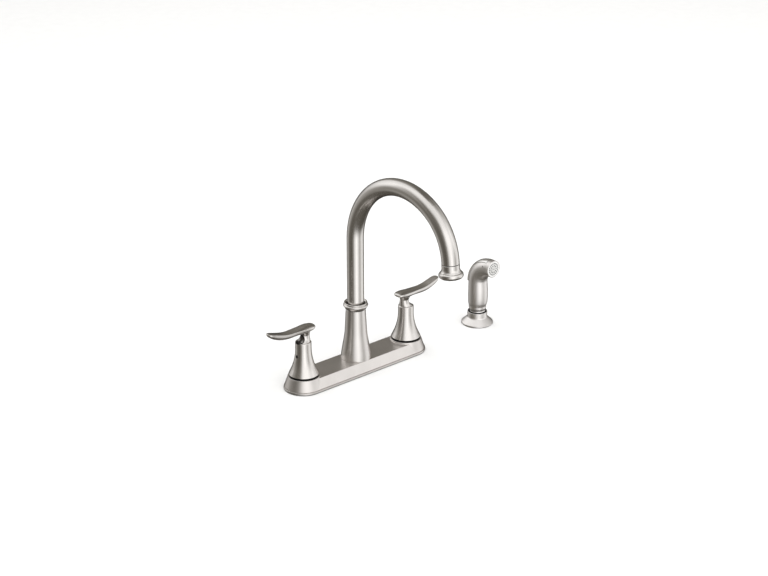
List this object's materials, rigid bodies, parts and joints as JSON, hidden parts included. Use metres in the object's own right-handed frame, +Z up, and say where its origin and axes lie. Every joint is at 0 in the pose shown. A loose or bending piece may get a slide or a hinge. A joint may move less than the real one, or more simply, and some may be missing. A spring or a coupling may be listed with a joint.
{
  "type": "two handle kitchen faucet",
  "caption": "High arc kitchen faucet on a long deck plate, with a lever handle at each end and a separate side spray that lifts out of its holder.",
  "frame": {"origin": "on the deck plane, under the spout's axis, at the middle of the gasket's underside", "axes": "+Z up; +X along the deck plate towards the cold handle and the side spray; the spout reaches over the sink towards -Y"},
  "size_m": [0.4489, 0.2515, 0.383],
  "materials": {
    "satin_nickel": "satin brushed nickel plate on cast metal and tube",
    "spray_nickel": "satin nickel plating on moulded plastic",
    "spray_face_plastic": "pale grey moulded plastic",
    "brass": "turned",
    "copper_tube": "drawn copper alloy tube",
    "black_rubber": "moulded",
    "black_plastic": "moulded acetal",
    "white_plastic": "moulded",
    "ceramic_white": "lapped",
    "plain_steel": "stainless, bright"
  },
  "bodies": {
    "root": {"centre_body": "brass", "cold_bonnet_nut": "brass", "cold_cartridge_shell": "white_plastic", "cold_feed_tube": "copper_tube", "cold_fixed_disc": "ceramic_white", "cold_seat_seal": "black_rubber", "cold_valve_body": "brass", "deck_gasket": "black_rubber", "deck_plate": "satin_nickel", "diverter_seat": "black_plastic", "diverter_spring": "plain_steel", "handle_glide_rings": "black_plastic", "hot_bonnet_nut": "brass", "hot_cartridge_shell": "white_plastic", "hot_feed_tube": "copper_tube", "hot_fixed_disc": "ceramic_white", "hot_seat_seal": "black_rubber", "hot_valve_body": "brass", "mounting_nuts": "black_plastic", "mounting_washers": "plain_steel", "spout_base": "satin_nickel", "spout_glide_ring": "black_plastic", "spout_nut": "brass", "spray_holder": "spray_nickel", "spray_holder_gasket": "black_rubber", "spray_holder_nut": "black_plastic", "spray_holder_washer": "plain_steel", "spray_nipple": "brass"},
    "hot_handle": {"hot_handle_hub": "satin_nickel", "hot_lever": "satin_nickel", "hot_lever_screw": "plain_steel", "hot_set_screw": "plain_steel", "hot_stem": "brass", "hot_stem_seal": "black_rubber", "hot_turning_disc": "ceramic_white"},
    "cold_handle": {"cold_handle_hub": "satin_nickel", "cold_lever": "satin_nickel", "cold_lever_screw": "plain_steel", "cold_set_screw": "plain_steel", "cold_stem": "brass", "cold_stem_seal": "black_rubber", "cold_turning_disc": "ceramic_white"},
    "spout": {"spout_tube": "satin_nickel", "spout_collar": "satin_nickel", "spout_insert": "brass", "spout_seals": "black_rubber", "aerator_shell": "satin_nickel", "aerator_washer": "black_rubber", "aerator_seal": "black_rubber", "aerator_insert": "white_plastic", "aerator_screen": "plain_steel"},
    "diverter": {"diverter_poppet": "black_plastic"},
    "spray_wand": {"spray_shell": "spray_nickel", "spray_coupling": "black_plastic", "spray_face": "spray_face_plastic", "spray_valve_seat": "black_rubber", "spray_valve_spring": "plain_steel", "trigger_pin": "plain_steel"},
    "spray_thumb_lever": {"spray_trigger": "spray_nickel"},
    "spray_valve": {"spray_plunger": "brass"}
  },
  "joints": [
    {"name": "hot_turn", "type": "hinge", "parent": "root", "child": "hot_handle", "pos_m": [-0.1016, 0, 0.05], "axis": [0, 0, 1], "range_deg": [0, 90]},
    {"name": "cold_turn", "type": "hinge", "parent": "root", "child": "cold_handle", "pos_m": [0.1016, 0, 0.05], "axis": [0, 0, 1], "range_deg": [-90, 0]},
    {"name": "spout_swivel", "type": "hinge", "parent": "root", "child": "spout", "pos_m": [0, 0, 0.07], "axis": [0, 0, 1], "continuous": true},
    {"name": "diverter_lift", "type": "slide", "parent": "root", "child": "diverter", "axis": [0, 0, 1], "range_m": [0, 0.0034], "stiffness_N_per_m": 150, "springref_m": -0.002, "deforming": ["diverter_spring"]},
    {"name": "spray_lift", "type": "slide", "parent": "root", "child": "spray_wand", "axis": [0, 0, 1], "range_m": [0, 0.15]},
    {"name": "thumb_press", "type": "hinge", "parent": "spray_wand", "child": "spray_thumb_lever", "pos_m": [0.257, -0.0225, 0.1064], "axis": [1, 0, 0], "range_deg": [-6, 0], "stiffness_Nm_per_rad": 0.8, "springref_deg": 5.73},
    {"name": "spray_valve_slide", "type": "slide", "parent": "spray_wand", "child": "spray_valve", "axis": [0, 0, 1], "range_m": [-0.00165, 0], "deforming": ["spray_valve_spring"]}
  ],
  "couplings": [
    {"joint": "spray_valve_slide", "follows": "thumb_press", "m_per_rad": 0.0155}
  ]
}
